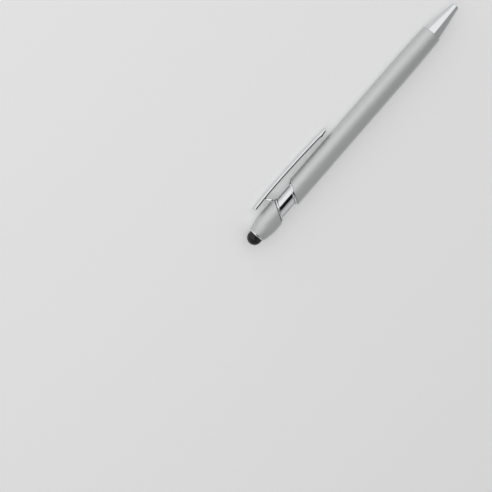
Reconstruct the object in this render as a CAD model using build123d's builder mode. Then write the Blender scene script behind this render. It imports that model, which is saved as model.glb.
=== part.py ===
"""Push-action ballpoint pen with a rubber stylus dome, modelled as an assembly.

Millimetres. The pen lies on its side: +X runs from the stylus to the writing end,
+Z is up, and the clip leans down until its edge touches the table beside the barrel.
Stations are measured along the pen from the tip of the stylus dome.
"""

import os
from math import asin, atan2, cos, hypot, pi, radians, sin, sqrt

from build123d import *

os.makedirs("parts", exist_ok=True)

# Clearances between pieces, on the radius or along the pen
press_clear = 0.02  # pieces pressed, glued or screwed together
slide_clear = 0.05  # cap sliding on the neck
cam_clear = 0.08  # click mechanism sliding in its guide
rubber_clear = 0.03  # rubber in its seat
refill_clear = 0.40  # refill passing through the bores
seat_gap = 0.05  # faces that only touch under the spring

# Refill
refill_radius = 2.90
refill_wall = 0.40
refill_body_length = 72.0
refill_plug_length = 4.0
refill_plug_step = 0.8
point_radius = 1.15
point_cone_length = 1.7
ball_radius = 0.50
ball_showing = 0.30
ball_clear = 0.01
point_lip = 0.06
point_shank = 0.90  # radius of the end that is pressed into the tube

# Click mechanism
press_extension = 4.5  # how far the ball comes out when it latches
press_overtravel = 1.0
guide_wall = 0.50
guide_flange = 1.0
guide_inset = 5.2  # from the top of the neck to the top of the guide
rib_count = 4
rib_height = 0.50
rib_width = 1.70
cam_rise = 0.70  # slope of the rib ends and of the rotor's lobes
key_width = 1.50
key_length = 2.5
lobe_length = 2.5
lobe_width = 1.50
lobe_inset = 1.2
head_length = 4.0
tooth_count = 8
tooth_depth = 0.90
tooth_gap = 0.12
stem_radius = 1.50
rotor_tail_radius = 1.80
rotor_foot_length = 1.7
guide_tail = 1.0
refill_gap = 1.2  # from the end of the guide to the refill

# Neck, cap and barrel walls, built outwards from the refill
neck_wall = 0.77
neck_in_barrel = 14.0
liner_wall = 0.38
cap_wall = 0.62
barrel_wall = 0.93
barrel_front_wall = 0.46
ring_height = 0.66  # how far both trim rings stand out from the neck
ring_thickness = 1.28
ring_gap = 8.50  # bare neck between the two trim rings
liner_inset = 0.15  # from the cap's trim ring back to the end of the liner
slant = 0.58  # rise of the oblique ends, along the pen for each unit across

# Stylus
dome_radius = 3.34
dome_wall = 0.95
dome_length = 4.60
dome_steps = 4  # slopes from the tip of the dome to its skirt
collar_lip = 0.65
collar_sleeve = 1.6
collar_wall = 0.25
bead_length = 0.7
mouth_wall = 0.30
plug_reach = 2.6  # how far the liner's plug goes into the dome's skirt

# Cap
cap_length = 13.65
cap_shoulder_length = 6.5
cap_brow_length = 3.4  # the shoulder is drawn in by two slopes, the steeper at the stylus
cap_brow_rise = 0.84
liner_floor_thickness = 3.0
socket_wall = 0.80
socket_length = 3.6
stem_seat = 0.6

# Clip
clip_width = 4.0
clip_thickness = 1.75
clip_round = 1.25  # outer edges, which make the strip half round
clip_corner = 1.5
plan_spare = 0.25  # how far the rounded plan of the strip stands outside its sides
clip_tail = 9.2  # from the cap's rim back to the clip's tail
clip_reach = 38.2  # from the cap's rim forward to the clip's tip
clip_arcs = 4  # short arcs that make up the arch in front of its top
clip_crest_reach = 3.6  # from the cap's rim forward to the top of the arch
clip_lift_tail = 2.52  # height of the clip's underside above the barrel
clip_lift_crest = 2.95
clip_lift_tip = 1.84
clip_bump = 0.18
clip_bump_length = 4.4
clip_bump_inset = 1.3
clip_tip_length = 2.4  # stretch of the strip whose underside turns up at the tip
clip_tip_rise = 0.70
foot_width = 3.2
foot_thickness = 1.8  # where the foot meets the cap
foot_neck = 1.1  # where the foot meets the strip
foot_lean = 1.1
notch_clear = 0.06
shoe_angle = 62.0
shoe_clear_angle = 1.5
shoe_length = 1.5

# Writing end
nose_length = 16.0
nose_front = 12.0
nose_tip_wall = 0.48
point_run_clear = 0.10
ball_recess = 0.8
taper_length = 24.0
bush_wall = 0.35
bush_length = 9.0
screw_length = 4.8

# Return spring
spring_length = 15.1
spring_wire = 0.45
spring_turns = 6
coil_steps = 10  # straight pieces in a turn of the coil
spring_clear = 0.50

# Radii that follow from the walls
neck_bore = refill_radius + refill_clear
neck_radius = neck_bore + neck_wall
liner_bore = neck_radius + slide_clear
liner_radius = liner_bore + liner_wall
shell_bore = liner_radius + press_clear
cap_radius = shell_bore + cap_wall
ring_radius = neck_radius + ring_height
barrel_bore = neck_radius + press_clear
barrel_radius = barrel_bore + barrel_wall
barrel_front_radius = barrel_bore + barrel_front_wall
guide_radius = neck_bore - press_clear
guide_bore = guide_radius - guide_wall
rotor_radius = guide_bore - rib_height - cam_clear
collar_bore = dome_radius + rubber_clear
collar_sleeve_radius = collar_bore + collar_wall
mouth_bore = collar_sleeve_radius + press_clear
cap_start_radius = mouth_bore + mouth_wall
socket_bore = stem_radius + press_clear
bush_radius = barrel_bore - press_clear
bush_bore = bush_radius - bush_wall
screw_radius = bush_bore - press_clear
refill_bore = refill_radius - refill_wall
point_bore = point_radius + point_run_clear
spring_radius = point_bore + spring_wire / 2 + spring_clear

# Stations along the pen
press_travel = press_extension + press_overtravel
cap_start = dome_length + collar_lip
cap_shoulder = cap_start + cap_shoulder_length
cap_end = cap_start + cap_length
sleeve_end = cap_start + collar_sleeve
bead_start = sleeve_end + rubber_clear
bead_end = bead_start + bead_length
liner_floor = bead_end + liner_floor_thickness
neck_start = liner_floor + press_travel + 2 * seat_gap
cap_ring_end = cap_end + ring_thickness
barrel_ring_start = cap_ring_end + ring_gap
barrel_start = barrel_ring_start + ring_thickness
neck_end = barrel_start + neck_in_barrel
guide_start = neck_start + guide_inset
head_start = guide_start + guide_flange + seat_gap
valley = head_start + head_length
tooth_tip = valley + tooth_depth
rotor_valley = tooth_tip + tooth_gap
lobe_start = rotor_valley + lobe_inset
rib_end = lobe_start + press_extension
guide_end = rib_end + press_overtravel + lobe_length + guide_tail
refill_start = guide_end + refill_gap
refill_shoulder = refill_start + refill_body_length
nose_seat = refill_shoulder + spring_length
nose_tip = nose_seat + nose_front
ball_tip = nose_tip - ball_recess
point_end = ball_tip - ball_showing
barrel_end = nose_tip - nose_length
taper_start = barrel_end - taper_length

# The clip's edge and the cap touch the table together, which sets the pen's roll
clip_top = barrel_radius + clip_lift_crest + clip_thickness
edge_reach = clip_top - clip_round
edge_half = clip_width / 2 - clip_round
roll = asin((cap_radius - clip_round) / hypot(edge_reach, edge_half)) - atan2(edge_half, edge_reach)

# Side plane of the pen: X along the pen, Y towards the clip, origin at the stylus tip.
# The model's own origin is on the pen's axis, halfway along the straight barrel.
middle = (barrel_start + taper_start) / 2
side = Plane(origin=(-middle, 0, 0), x_dir=(1, 0, 0), z_dir=(0, sin(roll), cos(roll)))
pen_axis = Axis(side.origin, side.x_dir)


def oblique(station):
    """Slanted cutting plane that crosses the pen's axis at a station."""
    return Plane(
        origin=side.origin + side.x_dir * station,
        z_dir=side.x_dir - side.y_dir * slant,
    )


def facing_out(count, distance, phase=0.0):
    """Planes evenly spaced round the pen, each facing outwards at a distance from the axis."""
    planes = []
    for step in range(count):
        angle = radians(phase) + 2 * pi * step / count
        outwards = side.y_dir * cos(angle) + side.z_dir * sin(angle)
        planes.append(Plane(origin=side.origin + outwards * distance, x_dir=side.x_dir, z_dir=outwards))
    return planes


def flat_top(radius, width):
    """Height of a flat-topped key whose corners just reach a radius."""
    return sqrt(radius**2 - (width / 2) ** 2)


def span(start, end, inner, outer):
    """Rectangle of the side plane between two stations and two radii."""
    with Locations(((start + end) / 2, (inner + outer) / 2)):
        Rectangle(end - start, outer - inner)


# Stylus dome: hollow rubber cap with a skirt and a bead that the collar traps
dome_hollow = dome_radius - dome_wall
bead_radius = mouth_bore - rubber_clear
round_end = []
for step in range(dome_steps + 1):
    angle = pi / 2 * step / dome_steps
    round_end.append((dome_radius * (1 - cos(angle)), dome_radius * sin(angle)))
with BuildPart() as stylus_dome:
    with BuildSketch(side):
        with BuildLine():
            Polyline(
                *round_end,
                (bead_start, dome_radius),
                (bead_start, bead_radius),
                (bead_end, bead_radius),
                (bead_end, dome_hollow),
                (dome_radius - dome_hollow / 2, dome_hollow),
                (dome_radius - dome_hollow / 2, 0),
                close=True,
            )
        make_face()
    revolve(axis=pen_axis)
stylus_dome.part.label = "stylus_dome"
export_step(stylus_dome.part, "parts/stylus_dome.step")

# Bright collar round the dome, with a sleeve pressed into the cap's mouth
with BuildPart() as stylus_collar:
    with BuildSketch(side):
        span(dome_length, cap_start, collar_bore, cap_start_radius)
        span(dome_length, sleeve_end, collar_bore, collar_sleeve_radius)
    revolve(axis=pen_axis)
stylus_collar.part.label = "stylus_collar"
export_step(stylus_collar.part, "parts/stylus_collar.step")

# Clip's foot: leans down through the notch in the cap's rim to a shoe that is trapped inside
rim_station = cap_end + slant * cap_radius
foot_bottom = liner_bore + notch_clear
clip_start = rim_station - clip_tail
clip_end = rim_station + clip_reach
clip_crest = rim_station + clip_crest_reach
under_tail = barrel_radius + clip_lift_tail
under_crest = barrel_radius + clip_lift_crest
under_tip = barrel_radius + clip_lift_tip
foot_top = (under_tail + under_crest + clip_thickness) / 2
foot_rear = rim_station - foot_thickness
foot_back = foot_rear - foot_lean
shoe_start = rim_station - foot_thickness - shoe_length
with BuildPart() as clip_foot:
    with BuildSketch(side.rotated((-shoe_angle / 2, 0, 0))):
        span(shoe_start, rim_station, foot_bottom, liner_radius)
    revolve(axis=pen_axis, revolution_arc=shoe_angle)
    with BuildSketch(side):
        with BuildLine():
            Polyline(
                (foot_rear, foot_bottom),
                (rim_station, foot_bottom),
                (rim_station, cap_radius),
                (foot_back + foot_neck, under_tail),
                (foot_back + foot_neck, foot_top),
                (foot_back, foot_top),
                (foot_back, under_tail),
                (foot_rear, cap_radius),
                close=True,
            )
        make_face()
    extrude(amount=foot_width / 2, both=True)
    split(bisect_by=oblique(cap_end), keep=Keep.BOTTOM)


def arch_point(share):
    """Point on the clip's underside, by the share of the way from the top of its arch to its tip."""
    return (
        clip_crest + share * (clip_end - clip_crest),
        under_crest - share**2 * (under_crest - under_tip),
    )


# Clip: arched half-round strip with a contact bump before its upturned tip
tip_start = clip_end - clip_tip_length
tip_past = clip_end + clip_tip_length
tip_edge = under_tip + clip_tip_rise
bump_start = clip_end - clip_bump_inset - clip_bump_length
bump_end = clip_end - clip_bump_inset
bump_floor = under_tip + clip_thickness / 2
with BuildPart() as clip:
    with BuildLine(side):
        rear_arch = TangentArc(arch_point(0), (clip_start, under_tail), tangent=-side.x_dir)
        front_arch = []
        heading = side.x_dir
        for step in range(clip_arcs):
            ends = arch_point(step / clip_arcs), arch_point((step + 1) / clip_arcs)
            front_arch.append(TangentArc(*ends, tangent=heading))
            heading = front_arch[-1] % 1
    with BuildSketch(Plane(origin=rear_arch @ 0, x_dir=-side.z_dir, z_dir=side.x_dir)) as strip:
        Rectangle(clip_width, clip_thickness, align=(Align.CENTER, Align.MIN))
        fillet(strip.vertices().group_by(Axis.Y)[-1], clip_round)
    sweep(path=front_arch)
    sweep(sections=strip.sketch, path=rear_arch)
    with BuildSketch(Plane(origin=side.origin, x_dir=side.x_dir, z_dir=side.y_dir)):
        with Locations(((clip_start + clip_end) / 2, 0)):
            RectangleRounded(clip_end - clip_start, clip_width + 2 * plan_spare, clip_corner)
    extrude(amount=2 * clip_top, mode=Mode.INTERSECT)
    with BuildSketch(side):
        with BuildLine():
            TangentArc((tip_start, under_tip), (clip_end, tip_edge), tangent=(1, 0))
            Polyline(
                (clip_end, tip_edge),
                (tip_past, tip_edge),
                (tip_past, barrel_radius),
                (tip_start, barrel_radius),
                (tip_start, under_tip),
            )
        make_face()
    extrude(amount=clip_width, both=True, mode=Mode.SUBTRACT)
    with BuildSketch(side):
        with BuildLine():
            ThreePointArc(
                (bump_start, bump_floor),
                ((bump_start + bump_end) / 2, under_tip - clip_bump),
                (bump_end, bump_floor),
            )
            Line((bump_end, bump_floor), (bump_start, bump_floor))
        make_face()
    extrude(amount=foot_width / 2, both=True)
    add(clip_foot.part)
clip.part.label = "clip"
export_step(clip.part, "parts/clip.step")

# Cap shell: thin tube, rounded in towards the stylus, cut off at a slant
tube_end = cap_end + slant * cap_radius + ring_thickness
cap_brow = cap_start + cap_brow_length
cap_brow_radius = cap_start_radius + cap_brow_rise
cap_step = liner_floor - liner_wall - seat_gap
with BuildPart() as cap_shell:
    with BuildSketch(side):
        with BuildLine():
            Polyline(
                (cap_start, mouth_bore),
                (cap_start, cap_start_radius),
                (cap_brow, cap_brow_radius),
                (cap_shoulder, cap_radius),
                (tube_end, cap_radius),
                (tube_end, shell_bore),
                (cap_step, shell_bore),
                (cap_step, mouth_bore),
                close=True,
            )
        make_face()
    revolve(axis=pen_axis)
    split(bisect_by=oblique(cap_end), keep=Keep.BOTTOM)
    with BuildSketch(side):
        span(foot_rear - notch_clear, tube_end, foot_bottom, 2 * cap_radius)
    extrude(amount=foot_width / 2 + notch_clear, both=True, mode=Mode.SUBTRACT)
cap_shell.part.label = "cap_shell"
export_step(cap_shell.part, "parts/cap_shell.step")

# Cap liner: plastic sleeve that slides on the neck, with a socket for the plunger and a plug for the dome
plug_start = bead_end - plug_reach
socket_end = liner_floor + socket_length
stem_start = liner_floor - stem_seat
shoe_opening = shoe_angle + 2 * shoe_clear_angle
ring_reach = tube_end + ring_thickness
with BuildPart() as cap_liner:
    with BuildSketch(side):
        with BuildLine():
            Polyline(
                (plug_start, 0),
                (plug_start, dome_hollow - rubber_clear),
                (bead_end + rubber_clear, dome_hollow - rubber_clear),
                (bead_end + rubber_clear, mouth_bore - press_clear),
                (liner_floor - liner_wall, mouth_bore - press_clear),
                (liner_floor - liner_wall, liner_radius),
                (ring_reach, liner_radius),
                (ring_reach, liner_bore),
                (liner_floor, liner_bore),
                (liner_floor, socket_bore + socket_wall),
                (socket_end, socket_bore + socket_wall),
                (socket_end, socket_bore),
                (stem_start, socket_bore),
                (stem_start, 0),
                close=True,
            )
        make_face()
    revolve(axis=pen_axis)
    split(bisect_by=oblique(cap_ring_end - liner_inset), keep=Keep.BOTTOM)
    with BuildSketch(side.rotated((-shoe_opening / 2, 0, 0))):
        span(shoe_start - notch_clear, ring_reach, guide_radius, cap_radius)
    revolve(axis=pen_axis, revolution_arc=shoe_opening, mode=Mode.SUBTRACT)
cap_liner.part.label = "cap_liner"
export_step(cap_liner.part, "parts/cap_liner.step")

# Cap trim ring: bright slanted ring against the cap's rim, pressed on the end of the liner
with BuildPart() as cap_trim_ring:
    with BuildSketch(side):
        span(cap_start, 2 * tube_end, liner_radius + press_clear, ring_radius)
    revolve(axis=pen_axis)
    split(bisect_by=oblique(cap_end), keep=Keep.TOP)
    split(bisect_by=oblique(cap_ring_end), keep=Keep.BOTTOM)
cap_trim_ring.part.label = "cap_trim_ring"
export_step(cap_trim_ring.part, "parts/cap_trim_ring.step")

# Neck tube: bright tube that the cap slides on, pressed into the barrel
with BuildPart() as neck_tube:
    with BuildSketch(side):
        span(neck_start, neck_end, neck_bore, neck_radius)
    revolve(axis=pen_axis)
neck_tube.part.label = "neck_tube"
export_step(neck_tube.part, "parts/neck_tube.step")

# Barrel trim ring: slanted ring on the neck, against the end of the barrel
with BuildPart() as barrel_trim_ring:
    with BuildSketch(side):
        span(cap_ring_end, 2 * tube_end, neck_radius + press_clear, ring_radius)
    revolve(axis=pen_axis)
    split(bisect_by=oblique(barrel_ring_start), keep=Keep.TOP)
    split(bisect_by=oblique(barrel_start), keep=Keep.BOTTOM)
barrel_trim_ring.part.label = "barrel_trim_ring"
export_step(barrel_trim_ring.part, "parts/barrel_trim_ring.step")

# Barrel: straight tube with a slanted end, drawn in a little towards the writing end
with BuildPart() as barrel_tube:
    with BuildSketch(side):
        with BuildLine():
            Polyline(
                (taper_start, barrel_radius),
                (cap_ring_end, barrel_radius),
                (cap_ring_end, barrel_bore),
                (barrel_end, barrel_bore),
                (barrel_end, barrel_front_radius),
            )
            TangentArc((taper_start, barrel_radius), (barrel_end, barrel_front_radius), tangent=(1, 0))
        make_face()
    revolve(axis=pen_axis)
    split(bisect_by=oblique(barrel_start), keep=Keep.TOP)
barrel_tube.part.label = "barrel_tube"
export_step(barrel_tube.part, "parts/barrel_tube.step")

# Nose bush: brass insert in the barrel that the nose cone screws into
with BuildPart() as nose_bush:
    with BuildSketch(side):
        span(barrel_end - bush_length, barrel_end, bush_bore, bush_radius)
    revolve(axis=pen_axis)
nose_bush.part.label = "nose_bush"
export_step(nose_bush.part, "parts/nose_bush.step")

# Nose cone: bright cone with a screwed spigot, a spring seat and a bore for the point
nose_tip_radius = point_bore + nose_tip_wall
with BuildPart() as nose_cone:
    with BuildSketch(side):
        with BuildLine():
            Polyline(
                (nose_tip, nose_tip_radius),
                (nose_tip, point_bore),
                (nose_seat, point_bore),
                (nose_seat, neck_bore),
                (barrel_end - screw_length, neck_bore),
                (barrel_end - screw_length, screw_radius),
                (barrel_end, screw_radius),
                (barrel_end, barrel_front_radius),
                close=True,
            )
        make_face()
    revolve(axis=pen_axis)
nose_cone.part.label = "nose_cone"
export_step(nose_cone.part, "parts/nose_cone.step")

# Return spring: coil of wire between the refill's shoulder and the nose cone's seat
coil_start = refill_shoulder + spring_wire + seat_gap
coil_end = nose_seat - spring_wire - seat_gap
coil_points = []
for step in range(spring_turns * coil_steps + 1):
    angle = 2 * pi * step / coil_steps
    station = coil_start + (coil_end - coil_start) * step / (spring_turns * coil_steps)
    coil_point = (station, spring_radius * cos(angle), spring_radius * sin(angle))
    coil_points.append(side.from_local_coords(coil_point))
with BuildPart() as return_spring:
    with BuildLine():
        coil = Polyline(*coil_points)
    with BuildSketch(Plane(origin=coil @ 0, z_dir=coil % 0)):
        Rectangle(spring_wire, spring_wire)
    sweep(path=coil, transition=Transition.RIGHT)
return_spring.part.label = "return_spring"
export_step(return_spring.part, "parts/return_spring.step")

# Cam guide: ribbed sleeve of the click mechanism, fixed in the neck
with BuildPart() as cam_guide:
    with BuildSketch(side):
        span(guide_start, guide_start + guide_flange, stem_radius + cam_clear, guide_radius)
        span(guide_start, guide_end, guide_bore, guide_radius)
    revolve(axis=pen_axis)
    rib_floor = guide_bore - rib_height
    with BuildSketch(*facing_out(rib_count, rib_floor)):
        with BuildLine():
            Polyline(
                (guide_start + guide_flange, -rib_width / 2),
                (rib_end, -rib_width / 2),
                (rib_end - cam_rise, rib_width / 2),
                (guide_start + guide_flange, rib_width / 2),
                close=True,
            )
        make_face()
    extrude(amount=rib_height + guide_wall / 2)
cam_guide.part.label = "cam_guide"
export_step(cam_guide.part, "parts/cam_guide.step")

# Plunger: pushed by the cap, keyed between the ribs, with a crown of teeth
half_pitch = pi / tooth_count
key_phase = 180.0 / rib_count
key_top = flat_top(guide_bore - cam_clear, key_width)
notch_half = rotor_radius * half_pitch
with BuildPart() as plunger:
    with BuildSketch(side):
        span(stem_start, head_start, 0, stem_radius)
        span(head_start, tooth_tip, 0, rotor_radius)
    revolve(axis=pen_axis)
    with BuildSketch(*facing_out(tooth_count, 0)):
        with BuildLine():
            Polyline((valley, 0), (tooth_tip, -notch_half), (tooth_tip, notch_half), close=True)
        make_face()
    extrude(amount=guide_radius, mode=Mode.SUBTRACT)
    with BuildSketch(*facing_out(rib_count, stem_radius, key_phase)):
        span(head_start, head_start + key_length, -key_width / 2, key_width / 2)
    extrude(amount=key_top - stem_radius)
plunger.part.label = "plunger"
export_step(plunger.part, "parts/plunger.step")

# Rotor: index cam that the plunger pushes, with lobes that latch on the ends of the ribs
crown = valley + tooth_gap
lobe_end = lobe_start + lobe_length
lobe_top = flat_top(guide_bore - cam_clear, lobe_width)
rotor_foot = refill_start - rotor_foot_length
with BuildPart() as rotor:
    with BuildSketch(side):
        span(crown, lobe_end, 0, rotor_radius)
        span(lobe_end, rotor_foot, 0, rotor_tail_radius)
        span(rotor_foot, refill_start, 0, rotor_radius)
    revolve(axis=pen_axis)
    with BuildSketch(*facing_out(tooth_count, 0, 180.0 / tooth_count)):
        with BuildLine():
            Polyline((rotor_valley, 0), (crown, -notch_half), (crown, notch_half), close=True)
        make_face()
    extrude(amount=guide_radius, mode=Mode.SUBTRACT)
    with BuildSketch(*facing_out(rib_count, rotor_tail_radius, key_phase)):
        with BuildLine():
            Polyline(
                (lobe_start, lobe_width / 2),
                (lobe_start + cam_rise, -lobe_width / 2),
                (lobe_end, -lobe_width / 2),
                (lobe_end, lobe_width / 2),
                close=True,
            )
        make_face()
    extrude(amount=lobe_top - rotor_tail_radius)
rotor.part.label = "rotor"
export_step(rotor.part, "parts/rotor.step")

# Refill plug: closes the back of the refill and takes the rotor's push
plug_face = refill_start + refill_plug_step
plug_end = refill_start + refill_plug_length
with BuildPart() as refill_plug:
    with BuildSketch(side):
        span(refill_start, plug_face, 0, refill_radius)
        span(plug_face, plug_end, 0, refill_bore - press_clear)
    revolve(axis=pen_axis)
refill_plug.part.label = "refill_plug"
export_step(refill_plug.part, "parts/refill_plug.step")

# Refill tube: wide ink tube whose end wall holds the point and takes the spring
tube_floor = refill_shoulder - refill_wall
with BuildPart() as refill_tube:
    with BuildSketch(side):
        span(plug_face, refill_shoulder, refill_bore, refill_radius)
        span(tube_floor, refill_shoulder, point_shank + press_clear, refill_radius)
    revolve(axis=pen_axis)
refill_tube.part.label = "refill_tube"
export_step(refill_tube.part, "parts/refill_tube.step")

# Ink column: fills the tube from the plug to the end wall
with BuildPart() as ink_column:
    with BuildSketch(side):
        span(plug_end, tube_floor - press_clear, 0, refill_bore - press_clear)
    revolve(axis=pen_axis)
ink_column.part.label = "ink_column"
export_step(ink_column.part, "parts/ink_column.step")

# Writing point: long turned tip with a drilled seat for the ball
ball_middle = ball_tip - ball_radius
seat_radius = ball_radius + ball_clear
with BuildPart() as refill_point:
    with BuildSketch(side):
        with BuildLine():
            Polyline(
                (tube_floor, 0),
                (tube_floor, point_shank),
                (refill_shoulder, point_shank),
                (refill_shoulder, point_radius),
                (point_end - point_cone_length, point_radius),
                (point_end, ball_radius + point_lip),
                (point_end, seat_radius),
                (ball_middle - seat_radius, seat_radius),
                (ball_middle - seat_radius, 0),
                close=True,
            )
        make_face()
    revolve(axis=pen_axis)
refill_point.part.label = "refill_point"
export_step(refill_point.part, "parts/refill_point.step")

# Writing ball
with BuildPart() as writing_ball:
    with Locations(side.origin + side.x_dir * ball_middle):
        Sphere(ball_radius)
writing_ball.part.label = "writing_ball"
export_step(writing_ball.part, "parts/writing_ball.step")
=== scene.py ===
import math
import bpy
from mathutils import Matrix, Vector


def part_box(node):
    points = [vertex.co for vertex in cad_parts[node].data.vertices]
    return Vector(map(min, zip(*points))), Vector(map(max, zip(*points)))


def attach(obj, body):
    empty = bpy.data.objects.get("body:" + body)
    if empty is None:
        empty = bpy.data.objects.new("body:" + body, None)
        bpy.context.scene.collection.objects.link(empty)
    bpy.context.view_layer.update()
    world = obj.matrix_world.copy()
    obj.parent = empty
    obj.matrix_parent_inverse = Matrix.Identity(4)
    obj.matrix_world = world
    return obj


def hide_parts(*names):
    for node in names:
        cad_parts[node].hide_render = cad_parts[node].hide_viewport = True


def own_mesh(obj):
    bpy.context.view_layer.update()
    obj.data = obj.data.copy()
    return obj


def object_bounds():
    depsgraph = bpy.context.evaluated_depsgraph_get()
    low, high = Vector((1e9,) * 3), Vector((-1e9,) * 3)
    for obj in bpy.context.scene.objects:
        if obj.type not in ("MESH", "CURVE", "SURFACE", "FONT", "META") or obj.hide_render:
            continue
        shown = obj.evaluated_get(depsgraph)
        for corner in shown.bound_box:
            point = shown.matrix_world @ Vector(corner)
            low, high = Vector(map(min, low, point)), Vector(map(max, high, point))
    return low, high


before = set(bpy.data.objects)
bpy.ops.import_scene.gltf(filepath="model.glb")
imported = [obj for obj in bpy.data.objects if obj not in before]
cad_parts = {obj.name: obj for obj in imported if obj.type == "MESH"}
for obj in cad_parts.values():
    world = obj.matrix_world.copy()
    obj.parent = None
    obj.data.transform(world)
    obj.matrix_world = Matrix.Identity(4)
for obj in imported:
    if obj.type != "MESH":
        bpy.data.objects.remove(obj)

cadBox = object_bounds()
mm = 0.001

# The pen lies along X. Stations run in millimetres from the tip of the stylus dome.
pen = {
    "tipX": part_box("stylus_dome")[0][0],  # where station 0 lies in the frame, in metres
    "slant": 0.58,  # rise of the oblique ends
    "capStart": 5.25, "capEnd": 18.90, "capRingEnd": 20.18,  # slanted ends are stations on the axis
    "barrelRingStart": 28.68, "barrelStart": 29.96, "noseStart": 121.95, "springSeat": 125.95,
    "seam": 0.28,  # a hair of the black liner shows between the cap's rim and its ring
    "capStartRadius": 3.94, "capRadius": 5.14, "ringRadius": 4.73, "neckRadius": 4.07,
    "barrelRadius": 5.02, "noseRadius": 4.55, "capBore": 4.52, "barrelBore": 4.09,
    "clipTop": 9.72, "clipHalf": 2.0, "clipRound": 1.25,  # the clip's edge, on which the pen lies
}
meshing = {
    "around": 128,  # corners round a turned piece
    "edgeSteps": 4,  # segments of a rounded edge
    "sharpFrom": 40,  # degrees, from which an edge between faces stays sharp
    "pole": 0.002,  # radius of the ring that closes at a pole, in millimetres
    "merge": 0.000004, "onPlane": 0.00001, "onCircle": 0.00002,  # metres
}


def rollAngle():  # the clip's edge and the cap touch the floor together
    reach = pen["clipTop"] - pen["clipRound"]
    half = pen["clipHalf"] - pen["clipRound"]
    lean = math.asin((pen["capRadius"] - pen["clipRound"]) / math.hypot(reach, half))
    return lean - math.atan2(half, reach)


roll = rollAngle()
along = Vector((1, 0, 0))
toClip = Vector((0, math.cos(roll), -math.sin(roll)))
outOfSide = Vector((0, math.sin(roll), math.cos(roll)))
print("roll", round(math.degrees(roll), 2))


def place(station):
    return pen["tipX"] + station * mm


def clearSelection():
    if bpy.context.object and bpy.context.object.mode != "OBJECT":
        bpy.ops.object.mode_set(mode="OBJECT")
    bpy.ops.object.select_all(action="DESELECT")


def hexColor(text):
    values = [int(text[i:i + 2], 16) / 255 for i in (1, 3, 5)]
    return [v / 12.92 if v <= 0.04045 else ((v + 0.055) / 1.055) ** 2.4 for v in values] + [1.0]


def addNode(tree, kind, settings=(), links=()):
    node = tree.nodes.new(kind)
    for key, value in dict(settings).items():
        if isinstance(key, int) or key in node.inputs:
            node.inputs[key].default_value = value
        else:
            setattr(node, key, value)
    for key, source in dict(links).items():
        tree.links.new(source, node.inputs[key])
    return node


def newMaterial(name, settings):
    material = bpy.data.materials.new(name)
    material.use_nodes = True
    tree = material.node_tree
    shader = tree.nodes["Principled BSDF"]
    for key, value in settings.items():
        shader.inputs[key].default_value = value
    return material, tree, shader


colorA, colorB, colorOut = 6, 7, 2  # a Mix node's colour sockets, which share their names with others


def satinAluminiumMaterial():  # bead-blasted and anodised: a soft grey sheen with a very fine grain
    look = {
        "dark": "#c5c8c7", "light": "#d9dcdb", "cloudMm": 9.0, "roughFrom": 0.50, "roughTo": 0.56,
        "grainMm": 0.18,  # real blast grain is under 0.1 mm, drawn coarser so that it shows
        "grainStrength": 0.5, "grainDepth": 0.000025,
    }
    material, tree, shader = newMaterial("satinAnodisedAluminium", {"Metallic": 1.0})
    spot = addNode(tree, "ShaderNodeTexCoord").outputs["Object"]
    grain = addNode(tree, "ShaderNodeTexNoise", {
        "Scale": 1 / (look["grainMm"] * mm), "Detail": 2.0}, {"Vector": spot})
    cloud = addNode(tree, "ShaderNodeTexNoise", {
        "Scale": 1 / (look["cloudMm"] * mm), "Detail": 3.0}, {"Vector": spot})
    tint = addNode(tree, "ShaderNodeMix", {
        "data_type": "RGBA", colorA: hexColor(look["dark"]), colorB: hexColor(look["light"])},
        {"Factor": grain.outputs["Fac"]})
    rough = addNode(tree, "ShaderNodeMapRange", {
        "To Min": look["roughFrom"], "To Max": look["roughTo"]}, {"Value": cloud.outputs["Fac"]})
    bump = addNode(tree, "ShaderNodeBump", {
        "Strength": look["grainStrength"], "Distance": look["grainDepth"]},
        {"Height": grain.outputs["Fac"]})
    tree.links.new(tint.outputs[colorOut], shader.inputs["Base Color"])
    tree.links.new(rough.outputs["Result"], shader.inputs["Roughness"])
    tree.links.new(bump.outputs["Normal"], shader.inputs["Normal"])
    return material


def polishedChromeMaterial():  # bright plating over polished metal: clear reflections, faint wipe marks
    look = {
        "color": "#dddfe0", "wipeMm": 4.0, "wipeFrom": 0.35, "wipeTo": 0.75,
        "roughFrom": 0.05, "roughTo": 0.12,
    }
    material, tree, shader = newMaterial("polishedChromePlate", {
        "Base Color": hexColor(look["color"]), "Metallic": 1.0})
    spot = addNode(tree, "ShaderNodeTexCoord").outputs["Object"]
    wipe = addNode(tree, "ShaderNodeTexNoise", {
        "Scale": 1 / (look["wipeMm"] * mm), "Detail": 5.0, "Roughness": 0.6}, {"Vector": spot})
    rough = addNode(tree, "ShaderNodeMapRange", {
        "From Min": look["wipeFrom"], "From Max": look["wipeTo"],
        "To Min": look["roughFrom"], "To Max": look["roughTo"]}, {"Value": wipe.outputs["Fac"]})
    tree.links.new(rough.outputs["Result"], shader.inputs["Roughness"])
    return material


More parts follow.
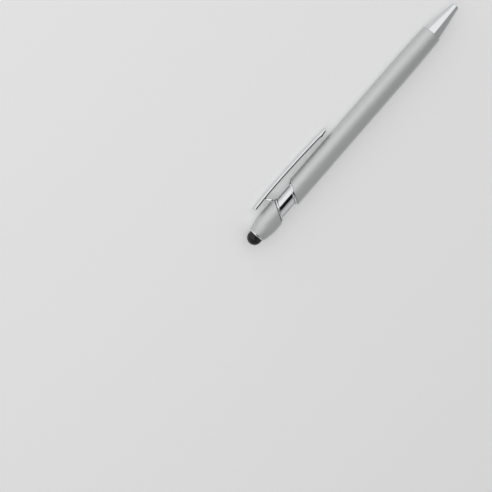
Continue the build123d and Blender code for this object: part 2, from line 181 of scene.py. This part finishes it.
def siliconeRubberMaterial():  # moulded silicone: black with a soft sheen, fine pores and a faint grey bloom
    look = {
        "black": "#050505", "bloom": "#0b0c0c", "bloomMm": 3.0,
        "poreMm": 0.25,  # coarser than real pores, so that they show
        "poreStrength": 0.15, "poreDepth": 0.00002,
    }
    material, tree, shader = newMaterial("mouldedSiliconeRubber", {"Roughness": 0.30, "IOR": 1.47})
    spot = addNode(tree, "ShaderNodeTexCoord").outputs["Object"]
    bloom = addNode(tree, "ShaderNodeTexNoise", {
        "Scale": 1 / (look["bloomMm"] * mm), "Detail": 4.0}, {"Vector": spot})
    pores = addNode(tree, "ShaderNodeTexNoise", {
        "Scale": 1 / (look["poreMm"] * mm), "Detail": 2.0}, {"Vector": spot})
    tint = addNode(tree, "ShaderNodeMix", {
        "data_type": "RGBA", colorA: hexColor(look["black"]), colorB: hexColor(look["bloom"])},
        {"Factor": bloom.outputs["Fac"]})
    bump = addNode(tree, "ShaderNodeBump", {
        "Strength": look["poreStrength"], "Distance": look["poreDepth"]},
        {"Height": pores.outputs["Fac"]})
    tree.links.new(tint.outputs[colorOut], shader.inputs["Base Color"])
    tree.links.new(bump.outputs["Normal"], shader.inputs["Normal"])
    return material


def turnedMetalMaterial(name, color, lineMm, roughness):  # turned, drawn or ground: fine rings round the axis
    look = {
        "band": 0.314,  # width of a band where the wave's scale is 1, in metres
        "waver": 0.4, "smoother": 0.05, "rougher": 0.07,
    }
    material, tree, shader = newMaterial(name, {"Base Color": hexColor(color), "Metallic": 1.0})
    spot = addNode(tree, "ShaderNodeTexCoord").outputs["Object"]
    rings = addNode(tree, "ShaderNodeTexWave", {
        "wave_type": "BANDS", "bands_direction": "X",
        "Scale": look["band"] / (lineMm * mm), "Distortion": look["waver"]}, {"Vector": spot})
    rough = addNode(tree, "ShaderNodeMapRange", {
        "To Min": roughness - look["smoother"], "To Max": roughness + look["rougher"]},
        {"Value": rings.outputs["Fac"]})
    tree.links.new(rough.outputs["Result"], shader.inputs["Roughness"])
    return material


def mouldedPlasticMaterial():  # moulded acetal of the click mechanism: near black, waxy
    look = {"color": "#2a2b2c", "grainMm": 0.5, "roughFrom": 0.35, "roughTo": 0.5}
    material, tree, shader = newMaterial("mouldedAcetal", {
        "Base Color": hexColor(look["color"]), "IOR": 1.48})
    spot = addNode(tree, "ShaderNodeTexCoord").outputs["Object"]
    grain = addNode(tree, "ShaderNodeTexNoise", {
        "Scale": 1 / (look["grainMm"] * mm), "Detail": 3.0}, {"Vector": spot})
    rough = addNode(tree, "ShaderNodeMapRange", {
        "To Min": look["roughFrom"], "To Max": look["roughTo"]}, {"Value": grain.outputs["Fac"]})
    tree.links.new(rough.outputs["Result"], shader.inputs["Roughness"])
    return material


def oilInkMaterial():  # oil ink in the refill's tube: dark and wet
    look = {"color": "#10121c", "swirlMm": 2.0, "roughFrom": 0.1, "roughTo": 0.2}
    material, tree, shader = newMaterial("oilInk", {"Base Color": hexColor(look["color"]), "IOR": 1.5})
    spot = addNode(tree, "ShaderNodeTexCoord").outputs["Object"]
    swirl = addNode(tree, "ShaderNodeTexNoise", {
        "Scale": 1 / (look["swirlMm"] * mm), "Detail": 2.0}, {"Vector": spot})
    rough = addNode(tree, "ShaderNodeMapRange", {
        "To Min": look["roughFrom"], "To Max": look["roughTo"]}, {"Value": swirl.outputs["Fac"]})
    tree.links.new(rough.outputs["Result"], shader.inputs["Roughness"])
    return material


satinAluminium = satinAluminiumMaterial()
polishedChrome = polishedChromeMaterial()
siliconeRubber = siliconeRubberMaterial()
mouldedAcetal = mouldedPlasticMaterial()
# colour, spacing of the lines in millimetres, drawn coarser than real ones so that they show, and roughness
turnedBrass = turnedMetalMaterial("turnedBrass", "#c9a24f", 0.25, 0.28)
drawnSpringSteel = turnedMetalMaterial("drawnSpringSteel", "#a9abad", 0.20, 0.25)
nickelSilver = turnedMetalMaterial("turnedNickelSilver", "#c5c1b6", 0.20, 0.22)
sinteredCarbide = turnedMetalMaterial("sinteredCarbideBall", "#8d9092", 0.15, 0.15)
oilInk = oilInkMaterial()
print("materials ready")

# the pieces inside keep their CAD shapes
for nodeName, material in {
    "cap_liner": mouldedAcetal, "plunger": mouldedAcetal, "cam_guide": mouldedAcetal, "rotor": mouldedAcetal,
    "refill_plug": mouldedAcetal, "nose_bush": turnedBrass, "refill_tube": nickelSilver, "ink_column": oilInk,
}.items():
    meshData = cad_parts[nodeName].data
    meshData.materials.clear()
    meshData.materials.append(material)
print("inner pieces dressed")


# Pieces are shaped with the clip towards +Y and the camera's side towards +Z, then rolled into place.
def settle(name):  # names a new primitive and puts its place into its mesh
    piece = bpy.context.object
    piece.name = piece.data.name = name
    bpy.ops.object.transform_apply(location=True, rotation=True, scale=True)
    return piece


def tidyMesh():  # in edit mode: seams and poles closed, faces outwards
    bpy.ops.mesh.select_all(action="SELECT")
    bpy.ops.mesh.remove_doubles(threshold=meshing["merge"])
    bpy.ops.mesh.normals_make_consistent(inside=False)
    bpy.ops.object.mode_set(mode="OBJECT")


def pickWhere(piece, test):  # selects vertices by place and stays in edit mode
    clearSelection()
    piece.select_set(True)
    bpy.context.view_layer.objects.active = piece
    bpy.ops.object.mode_set(mode="EDIT")
    bpy.ops.mesh.select_mode(type="VERT")
    bpy.ops.mesh.select_all(action="DESELECT")
    bpy.ops.object.mode_set(mode="OBJECT")
    for vertex in piece.data.vertices:
        vertex.select = test(vertex.co)
    bpy.ops.object.mode_set(mode="EDIT")


def drawOut(sections):  # in edit mode: draws an outline out through sections, each a middle and a size
    for (fromSpot, fromSize), (toSpot, toSize) in zip(sections, sections[1:]):
        step = [new - old for new, old in zip(toSpot, fromSpot)]
        grow = [new / old for new, old in zip(toSize, fromSize)]
        bpy.ops.mesh.extrude_region_move(TRANSFORM_OT_translate={"value": step})
        bpy.ops.transform.resize(value=grow, center_override=toSpot)


def turnPiece(name, rings, around=meshing["around"]):  # a ring of edges drawn out and resized along the pen
    clearSelection()
    sections = [((place(station), 0, 0), (1, radius, radius)) for station, radius in rings]
    bpy.ops.mesh.primitive_circle_add(
        vertices=around, radius=rings[0][1] * mm, location=sections[0][0], rotation=(0, math.pi / 2, 0))
    piece = settle(name)
    bpy.ops.object.mode_set(mode="EDIT")
    bpy.ops.mesh.select_all(action="SELECT")
    drawOut(sections)
    tidyMesh()
    return piece


def onSlant(co, station, slant):
    return abs(co.x - place(station) - slant * co.y) < meshing["onPlane"]


def onRing(co, station, radius, slant):
    return onSlant(co, station, slant) and abs(math.hypot(co.y, co.z) - radius * mm) < meshing["onCircle"]


def slantCut(piece, station, keepStylusEnd):  # cuts at a slant and closes the wall's end
    pickWhere(piece, lambda co: True)
    bpy.ops.mesh.bisect(
        plane_co=(place(station), 0, 0), plane_no=(1, -pen["slant"], 0),
        clear_outer=keepStylusEnd, clear_inner=not keepStylusEnd)
    pickWhere(piece, lambda co: onSlant(co, station, pen["slant"]))
    bpy.ops.mesh.bridge_edge_loops()
    tidyMesh()


def roundRing(piece, station, radius, width, slant=0.0, steps=meshing["edgeSteps"]):
    pickWhere(piece, lambda co: onRing(co, station, radius, slant))
    bpy.ops.mesh.bevel(offset=width * mm, segments=steps, affect="EDGES")
    bpy.ops.object.mode_set(mode="OBJECT")


def combine(piece, helper, operation):  # joins or cuts with a helper, which is then removed
    clearSelection()
    bpy.context.view_layer.objects.active = piece
    both = piece.modifiers.new("both", "BOOLEAN")
    both.operation = operation
    both.object = helper
    both.solver = "EXACT"
    bpy.ops.object.modifier_apply(modifier=both.name)
    bpy.data.objects.remove(helper)


def finishPiece(piece, body, node, material, angle=meshing["sharpFrom"]):
    clearSelection()
    piece.select_set(True)
    bpy.context.view_layer.objects.active = piece
    piece.rotation_euler = (-roll, 0, 0)
    bpy.ops.object.transform_apply(location=False, rotation=True, scale=False)
    bpy.ops.object.shade_smooth_by_angle(angle=math.radians(angle))
    even = piece.modifiers.new("even", "WEIGHTED_NORMAL")  # keeps long faces true beside small rounded edges
    even.keep_sharp = True
    bpy.ops.object.modifier_apply(modifier=even.name)
    piece.data.materials.clear()
    piece.data.materials.append(material)
    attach(piece, body)
    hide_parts(node)
    print("made", piece.name, len(piece.data.polygons))


def arcSteps(count):  # 0 to 90 degrees
    return [math.pi / 2 * step / count for step in range(count + 1)]


def makeDome():
    dome = {
        "radius": 3.34, "wall": 0.95, "skirtEnd": 6.88, "beadEnd": 7.58, "beadRadius": 3.61,
        "outerSteps": 20, "innerSteps": 10,
    }
    radius = dome["radius"]
    inside = radius - dome["wall"]
    rings = [(radius * (1 - math.cos(turn)), max(radius * math.sin(turn), meshing["pole"]))
             for turn in arcSteps(dome["outerSteps"])]
    rings += [(dome["skirtEnd"], radius), (dome["skirtEnd"], dome["beadRadius"]),
              (dome["beadEnd"], dome["beadRadius"]), (dome["beadEnd"], inside)]
    rings += [(radius - inside * math.sin(turn), max(inside * math.cos(turn), meshing["pole"]))
              for turn in arcSteps(dome["innerSteps"])]
    finishPiece(turnPiece("stylusDome", rings), "cap", "stylus_dome", siliconeRubber)


def makeCollar():
    collar = {"start": 4.60, "sleeveEnd": 6.85, "bore": 3.37, "sleeve": 3.62, "round": 0.08}
    lipEnd = pen["capStart"]
    lip = pen["capStartRadius"]
    rings = [(collar["start"], collar["bore"]), (collar["start"], lip), (lipEnd, lip),
             (lipEnd, collar["sleeve"]), (collar["sleeveEnd"], collar["sleeve"]),
             (collar["sleeveEnd"], collar["bore"]), (collar["start"], collar["bore"])]
    piece = turnPiece("stylusCollar", rings)
    roundRing(piece, collar["start"], lip, collar["round"])
    roundRing(piece, lipEnd, lip, collar["round"])
    roundRing(piece, collar["start"], collar["bore"], collar["round"])
    finishPiece(piece, "cap", "stylus_collar", polishedChrome)


def makeCapShell():
    cap = {
        "shoulder": 11.75, "step": 10.15, "mouth": 3.64, "rimRound": 0.10, "startRound": 0.06,
        "past": 27.0,  # how far the tube is drawn out before its slanted cut
        "curve": 1.7, "steps": 16,  # how the shoulder bends, and in how many steps
    }
    notch = {"start": 20.02, "length": 6, "height": 5.5, "depth": 3, "width": 3.26}  # for the clip's foot
    start = pen["capStart"]
    drop = pen["capRadius"] - pen["capStartRadius"]
    length = cap["shoulder"] - start
    rings = [(cap["past"], pen["capBore"]), (cap["step"], pen["capBore"]),
             (cap["step"], cap["mouth"]), (start, cap["mouth"])]
    for step in range(cap["steps"] + 1):
        share = step / cap["steps"]
        rings.append((start + length * share, pen["capRadius"] - drop * (1 - share) ** cap["curve"]))
    rings.append((cap["past"], pen["capRadius"]))
    piece = turnPiece("capShell", rings)
    slantCut(piece, pen["capEnd"], True)
    roundRing(piece, pen["capEnd"], pen["capRadius"], cap["rimRound"], pen["slant"])
    roundRing(piece, start, pen["capStartRadius"], cap["startRound"])
    clearSelection()
    bpy.ops.mesh.primitive_cube_add(
        size=1, location=(place(notch["start"] + notch["length"] / 2), notch["height"] * mm, 0),
        scale=(notch["length"] * mm, notch["depth"] * mm, notch["width"] * mm))
    combine(piece, bpy.context.object, "DIFFERENCE")
    finishPiece(piece, "cap", "cap_shell", satinAluminium)


def makeTrimRing(name, body, node, start, end, bore, edge):
    trim = {"run": 8.0}  # how far the turned ring runs past its slanted cuts
    radius = pen["ringRadius"]
    first = start - trim["run"]
    last = end + trim["run"]
    piece = turnPiece(name, [(last, bore), (first, bore), (first, radius), (last, radius)])
    slantCut(piece, end, True)
    slantCut(piece, start, False)
    roundRing(piece, start, radius, edge, pen["slant"])
    roundRing(piece, end, radius, edge, pen["slant"])
    finishPiece(piece, body, node, polishedChrome)


def makeNeck():
    neck = {"start": 16.18, "end": 43.96, "bore": 3.30, "round": 0.20}
    radius = pen["neckRadius"]
    rings = [(neck["start"], neck["bore"]), (neck["start"], radius), (neck["end"], radius),
             (neck["end"], neck["bore"]), (neck["start"], neck["bore"])]
    piece = turnPiece("neckTube", rings)
    roundRing(piece, neck["start"], radius, neck["round"])
    roundRing(piece, neck["start"], neck["bore"], neck["round"])
    finishPiece(piece, "barrel", "neck_tube", polishedChrome)


def makeBarrel():
    barrel = {
        "taperStart": 97.95, "rimRound": 0.10, "frontRound": 0.06,
        "past": 20.0,  # where the tube starts before its slanted cut
        "curve": 2, "steps": 12,  # how the taper bends, and in how many steps
    }
    end = pen["noseStart"]
    drop = pen["barrelRadius"] - pen["noseRadius"]
    length = end - barrel["taperStart"]
    rings = [(barrel["past"], pen["barrelBore"]), (end, pen["barrelBore"])]
    for step in range(barrel["steps"] + 1):
        share = step / barrel["steps"]
        rings.append((end - length * share, pen["barrelRadius"] - drop * (1 - share) ** barrel["curve"]))
    rings.append((barrel["past"], pen["barrelRadius"]))
    piece = turnPiece("barrelTube", rings)
    slantCut(piece, pen["barrelStart"], False)
    roundRing(piece, pen["barrelStart"], pen["barrelRadius"], barrel["rimRound"], pen["slant"])
    roundRing(piece, end, pen["noseRadius"], barrel["frontRound"])
    finishPiece(piece, "barrel", "barrel_tube", satinAluminium)


def makeNose():
    nose = {
        "tip": 137.95, "tipRadius": 1.73, "tipBore": 1.25, "chamber": 3.30,
        "screwStart": 117.15, "screw": 3.70,
        "tipRound": 0.22, "tipRoundSteps": 5, "boreRound": 0.10, "startRound": 0.12,
    }
    start = pen["noseStart"]
    seat = pen["springSeat"]
    rings = [(start, pen["noseRadius"]), (nose["tip"], nose["tipRadius"]), (nose["tip"], nose["tipBore"]),
             (seat, nose["tipBore"]), (seat, nose["chamber"]), (nose["screwStart"], nose["chamber"]),
             (nose["screwStart"], nose["screw"]), (start, nose["screw"]), (start, pen["noseRadius"])]
    piece = turnPiece("noseCone", rings)
    roundRing(piece, nose["tip"], nose["tipRadius"], nose["tipRound"], steps=nose["tipRoundSteps"])
    roundRing(piece, nose["tip"], nose["tipBore"], nose["boreRound"])
    roundRing(piece, start, pen["noseRadius"], nose["startRound"])
    finishPiece(piece, "barrel", "nose_cone", polishedChrome)


def makePoint():
    point = {
        "shankStart": 110.45, "start": 110.85, "cone": 135.15, "end": 136.85, "shank": 0.90, "radius": 1.15,
        "lip": 0.56, "seat": 0.51, "seatDepth": 0.71, "coneRound": 0.20, "around": 64,
    }
    bottom = point["end"] - point["seatDepth"]  # of the ball's seat
    rings = [(point["shankStart"], meshing["pole"]), (point["shankStart"], point["shank"]),
             (point["start"], point["shank"]), (point["start"], point["radius"]),
             (point["cone"], point["radius"]), (point["end"], point["lip"]), (point["end"], point["seat"]),
             (bottom, point["seat"]), (bottom, meshing["pole"])]
    piece = turnPiece("refillPoint", rings, point["around"])
    roundRing(piece, point["cone"], point["radius"], point["coneRound"])
    finishPiece(piece, "refill", "refill_point", nickelSilver)


def makeBall():
    ball = {"middle": 136.65, "radius": 0.50, "steps": 16, "around": 48}
    rings = [(ball["middle"] - ball["radius"] * math.cos(2 * turn),
              max(ball["radius"] * math.sin(2 * turn), meshing["pole"])) for turn in arcSteps(ball["steps"])]
    piece = turnPiece("writingBall", rings, ball["around"])
    finishPiece(piece, "refill", "writing_ball", sinteredCarbide)


clip = {
    "start": 12.68, "crest": 25.48, "end": 60.08, "underTail": 7.54, "underCrest": 7.97, "underTip": 6.86,
    "thick": 1.75, "round": 1.45, "roundSteps": 10, "edge": 0.10, "sharpFrom": 50,
    "corner": 1.5, "cornerRun": 0.5,  # how far the corners of both ends draw in, over what length
    "tailRound": 0.5, "tipRound": 0.6, "tipLength": 2.4, "tipRise": 0.70,  # seen from the side
    "bumpMiddle": 56.58, "bumpHalf": 1.6, "bump": 0.30, "bumpSteps": 10,  # under the tip, to grip cloth
    "endSteps": (0, 0.03, 0.10, 0.20, 0.33, 0.5, 0.75, 1.1, 1.5),  # sections lie close at the rounded ends
    "archFrom": 3, "archStep": 1.5, "archCount": 26,  # and wider apart between them
}
foot = {
    "back": 18.98, "neck": 1.1, "rear": 20.08, "front": 21.88,  # place at the strip, then at the cap
    "half": 1.6, "waist": 0.5,  # half width at its root, and how much narrower it is at the strip
    "edge": 0.35, "edgeSteps": 5,
    "flare": 0.30, "flareFrom": 0.25, "flareRun": 0.6,  # where it joins the strip
    "joint": (0.6, 0.22, 0.10, -0.05, -0.3),  # sections above and below the strip's underside
    "heights": (6.7, 6.1, 5.6, pen["capRadius"], 4.8, 4.25),  # and on down into the cap
}


def underside(station):  # two flat arcs that meet level at the crest
    end, height = ("start", "underTail") if station < clip["crest"] else ("end", "underTip")
    run = clip[end] - clip["crest"]
    drop = clip["underCrest"] - clip[height]
    radius = (run ** 2 + drop ** 2) / (2 * drop)
    return clip["underCrest"] - radius + math.sqrt(radius ** 2 - (station - clip["crest"]) ** 2)


def rounding(inFrom, radius):  # how far a rounded end has drawn in
    return radius - math.sqrt(radius ** 2 - (radius - inFrom) ** 2) if inFrom < radius else 0.0


def stripSection(station):  # the middle of the strip, and its height and half width
    fromStart = station - clip["start"]
    fromEnd = clip["end"] - station
    drawnIn = rounding(min(fromStart, fromEnd), clip["cornerRun"])
    half = pen["clipHalf"] - drawnIn * clip["corner"] / clip["cornerRun"]
    tail = rounding(fromStart, clip["tailRound"])
    curl = clip["tipLength"] - fromEnd
    turnUp = clip["tipRise"] * (curl / clip["tipLength"]) ** 2 if curl > 0 else 0.0
    away = (station - clip["bumpMiddle"]) / clip["bumpHalf"]
    bump = clip["bump"] * (0.5 + 0.5 * math.cos(math.pi * away)) if abs(away) < 1 else 0.0
    low = underside(station) + tail + turnUp - bump
    high = underside(station) + clip["thick"] - tail - rounding(fromEnd, clip["tipRound"])
    return (place(station), (low + high) / 2 * mm, 0), (1, high - low, half)


def footSection(height):  # the middle of the foot, and its length and half width, wider at its root
    below = clip["underTail"] - height
    share = min(max(below / (clip["underTail"] - pen["capRadius"]), 0), 1)
    flare = foot["flare"] * max(0, 1 - max(below + foot["flareFrom"], 0) / foot["flareRun"]) ** 2
    neckFront = foot["back"] + foot["neck"]
    back = foot["back"] + (foot["rear"] - foot["back"]) * share - flare
    front = neckFront + (foot["front"] - neckFront) * share + flare
    front = min(front, pen["capEnd"] + pen["slant"] * height)
    half = foot["half"] - foot["waist"] * (1 - share)
    return (place((back + front) / 2), height * mm, 0), (front - back, 1, half)


def startOutline(name, spot, turned, size):  # a rectangle, left selected in edit mode
    clearSelection()
    bpy.ops.mesh.primitive_plane_add(size=1, location=spot, rotation=turned)
    piece = settle(name)
    pickWhere(piece, lambda co: True)
    bpy.ops.transform.resize(value=size, center_override=spot)
    return piece


def makeStrip():
    bumpSteps = clip["bumpSteps"]
    stations = [clip["start"] + step for step in clip["endSteps"]]
    stations += [clip["start"] + clip["archFrom"] + clip["archStep"] * step
                 for step in range(clip["archCount"])]
    stations += [clip["bumpMiddle"] + clip["bumpHalf"] * step / bumpSteps
                 for step in range(-bumpSteps, bumpSteps + 2)]
    stations += [clip["end"] - step for step in clip["endSteps"]]
    sections = [stripSection(station) for station in sorted(stations)]
    spot, (length, height, half) = sections[0]
    full = clip["thick"]
    middle = spot[1]
    piece = startOutline("clipStrip", spot, (0, math.pi / 2, 0), (1, full * mm, 2 * pen["clipHalf"] * mm))
    pickWhere(piece, lambda co: co.y > middle)
    bpy.ops.mesh.bevel(offset=clip["round"] * mm, segments=clip["roundSteps"], affect="VERTICES")
    pickWhere(piece, lambda co: co.y < middle - full / 2 * mm + meshing["onPlane"])
    bpy.ops.mesh.bevel(offset=clip["edge"] * mm, segments=meshing["edgeSteps"], affect="VERTICES")
    bpy.ops.mesh.select_all(action="SELECT")
    bpy.ops.transform.resize(value=(length, height / full, half / pen["clipHalf"]), center_override=spot)
    drawOut(sections)
    tidyMesh()
    return piece


def makeFoot():
    heights = [clip["underTail"] + step for step in foot["joint"]]
    heights += foot["heights"]
    sections = [footSection(height) for height in heights]
    spot, (length, height, half) = sections[0]
    piece = startOutline("clipFoot", spot, (math.pi / 2, 0, 0), (length * mm, height, 2 * half * mm))
    bpy.ops.mesh.bevel(offset=foot["edge"] * mm, segments=foot["edgeSteps"], affect="VERTICES")
    bpy.ops.mesh.select_all(action="SELECT")
    drawOut(sections)
    tidyMesh()
    return piece


def makeClip():
    piece = makeStrip()
    combine(piece, makeFoot(), "UNION")
    finishPiece(piece, "cap", "clip", polishedChrome, clip["sharpFrom"])


def makeSpring():
    spring = {
        "start": 111.35, "end": 125.45, "radius": 1.975, "wire": 0.225, "turns": 6,
        "seat": pen["springSeat"], "rest": 15.1, "travel": 5.5,  # length at rest, and how much it shortens
        "wireSteps": 12, "turnSteps": 32,
    }
    clearSelection()
    bpy.ops.mesh.primitive_circle_add(
        vertices=spring["wireSteps"], radius=spring["wire"] * mm,
        location=(place(spring["start"]), spring["radius"] * mm, 0))
    piece = settle("returnSpring")
    wind = piece.modifiers.new("wind", "SCREW")
    wind.axis = "X"
    wind.angle = 2 * math.pi * spring["turns"]
    wind.screw_offset = (spring["end"] - spring["start"]) * mm
    wind.steps = wind.render_steps = spring["turnSteps"] * spring["turns"]
    bpy.ops.object.modifier_apply(modifier=wind.name)
    bpy.ops.object.mode_set(mode="EDIT")
    bpy.ops.mesh.select_all(action="SELECT")
    bpy.ops.mesh.fill_holes(sides=0)
    tidyMesh()
    finishPiece(piece, "barrel", "return_spring", drawnSpringSteel)
    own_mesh(piece)


makeDome()
makeCollar()
makeCapShell()
makeTrimRing("capTrimRing", "cap", "cap_trim_ring",
             pen["capEnd"] + pen["seam"], pen["capRingEnd"], pen["capBore"], edge=0.22)
makeNeck()
makeTrimRing("barrelTrimRing", "barrel", "barrel_trim_ring",
             pen["barrelRingStart"], pen["barrelStart"], pen["barrelBore"], edge=0.24)
makeBarrel()
makeNose()
makePoint()
makeBall()
makeClip()
makeSpring()
print("pieces ready")

shot = {
    "focal": 1509.0, "image": 492.0, "distance": 668.0,  # pixels, pixels, millimetres
    "sensor": 36.0, "nearest": 0.01, "farthest": 20.0,  # millimetres, metres, metres
    "anchorStation": 4.65, "anchorPixel": (256.49, 235.42),
    "lean": (0.655, 0.7553),  # the pen's direction in the picture, right and up
    "nearEnd": 3.0, "clipTurn": 5.0,  # degrees: writing end towards the camera, clip towards the camera
}


def addCamera():
    lean = Vector(shot["lean"]).normalized()
    near = math.radians(shot["nearEnd"])
    turn = math.radians(shot["clipTurn"])
    sideways = toClip * math.sin(turn) + outOfSide * math.cos(turn)
    axisInPicture = along * math.cos(near) - sideways * math.sin(near)
    acrossInPicture = toClip * math.cos(turn) - outOfSide * math.sin(turn)
    towards = along * math.sin(near) + sideways * math.cos(near)
    right = axisInPicture * lean.x - acrossInPicture * lean.y
    up = axisInPicture * lean.y + acrossInPicture * lean.x
    reach = shot["distance"] * mm
    offX = (shot["anchorPixel"][0] - shot["image"] / 2) / shot["focal"] * reach
    offY = -(shot["anchorPixel"][1] - shot["image"] / 2) / shot["focal"] * reach
    spot = Vector((place(shot["anchorStation"]), 0, 0)) - right * offX - up * offY + towards * reach
    cameraData = bpy.data.cameras.new("photoCamera")
    cameraData.sensor_width = shot["sensor"]
    cameraData.lens = shot["sensor"] * shot["focal"] / shot["image"]
    cameraData.clip_start = shot["nearest"]
    cameraData.clip_end = shot["farthest"]
    camera = bpy.data.objects.new("photoCamera", cameraData)
    bpy.context.scene.collection.objects.link(camera)
    camera.matrix_world = Matrix.Translation(spot) @ Matrix((right, up, towards)).transposed().to_4x4()
    bpy.context.scene.camera = camera


# Angles are degrees round the pen, from straight out of its side towards the clip. Lengths are metres.
studio = {
    "sky": "#a6a6a6", "board": "#e4e4e4", "floorSize": 4.0,
    "seenGlow": 0.21, "mirrorGlow": 0.23,  # white added to the lit floor, as the camera and the metal see it
    "key": {"angle": 24.0, "distance": 0.75, "width": 1.40, "length": 1.6, "power": 4.9},
    "flag": {"from": -25.0, "to": 15.5, "distance": 0.55, "length": 0.18, "shift": -0.03},
    "fill": {"from": -90.0, "to": -42.0, "distance": 0.50, "length": 0.14, "shift": -0.07},
    "flock": "#141414", "fillGlow": 0.65,
}


def addFloor():
    clearSelection()
    bpy.ops.mesh.primitive_plane_add(size=studio["floorSize"], location=(0, 0, cadBox[0][2]))
    floor = bpy.context.object
    floor.name = "paleFloor"
    material, tree, shader = newMaterial("paleFloorBoard", {
        "Base Color": hexColor(studio["board"]), "Roughness": 0.9, "Emission Color": hexColor("#ffffff")})
    path = addNode(tree, "ShaderNodeLightPath")
    seen = addNode(tree, "ShaderNodeMath", {
        "operation": "MULTIPLY", 1: studio["seenGlow"]}, {0: path.outputs["Is Camera Ray"]})
    mirrored = addNode(tree, "ShaderNodeMath", {
        "operation": "MULTIPLY_ADD", 1: studio["mirrorGlow"]},
        {0: path.outputs["Is Glossy Ray"], 2: seen.outputs[0]})
    through = addNode(tree, "ShaderNodeMath", {
        "operation": "MULTIPLY_ADD", 1: studio["seenGlow"]},
        {0: path.outputs["Is Transmission Ray"], 2: mirrored.outputs[0]})
    tree.links.new(through.outputs[0], shader.inputs["Emission Strength"])
    floor.data.materials.append(material)


def roundPen(angle, distance):  # a spot beside the pen
    turn = math.radians(angle)
    return outOfSide * math.cos(turn) * distance + toClip * math.sin(turn) * distance


def facePen(spot):  # turns a lamp or card towards the pen
    back = spot.normalized()
    return Matrix((along, back.cross(along), back)).transposed().to_4x4()


def addCard(name, card, material):  # a card beside the pen, which only the metal mirrors
    low = roundPen(card["from"], card["distance"])
    high = roundPen(card["to"], card["distance"])
    middle = (low + high) / 2
    clearSelection()
    bpy.ops.mesh.primitive_plane_add(size=1)
    plane = bpy.context.object
    plane.name = name
    size = Matrix.Diagonal((card["length"], (high - low).length, 1, 1))
    plane.matrix_world = Matrix.Translation(middle + along * card["shift"]) @ facePen(middle) @ size
    plane.data.materials.append(material)
    plane.visible_camera = plane.visible_diffuse = plane.visible_shadow = plane.visible_transmission = False


def addCards():
    black = newMaterial("blackFlock", {
        "Base Color": hexColor(studio["flock"]), "Roughness": 1.0, "Specular IOR Level": 0.0})[0]
    pale = newMaterial("paleFillCard", {
        "Base Color": hexColor("#000000"), "Roughness": 1.0, "Specular IOR Level": 0.0,
        "Emission Color": hexColor("#ffffff"), "Emission Strength": studio["fillGlow"]})[0]
    addCard("blackFlag", studio["flag"], black)  # round the camera, for the dark stripe on the polished metal
    addCard("fillCard", studio["fill"], pale)  # low beside the neck, for its pale lower side


def addLight():
    key = studio["key"]
    world = bpy.data.worlds.new("studio")
    bpy.context.scene.world = world
    world.use_nodes = True
    background = world.node_tree.nodes["Background"]
    background.inputs["Color"].default_value = hexColor(studio["sky"])
    background.inputs["Strength"].default_value = 1.0
    lampData = bpy.data.lights.new("keySoftbox", "AREA")
    lampData.shape = "RECTANGLE"
    lampData.size = key["length"]
    lampData.size_y = key["width"]
    lampData.energy = key["power"]
    lamp = bpy.data.objects.new("keySoftbox", lampData)
    bpy.context.scene.collection.objects.link(lamp)
    spot = roundPen(key["angle"], key["distance"])
    lamp.matrix_world = Matrix.Translation(spot) @ facePen(spot)


addCamera()
addFloor()
addCards()
addLight()
bpy.context.scene.view_settings.view_transform = "Standard"
print("stage ready")
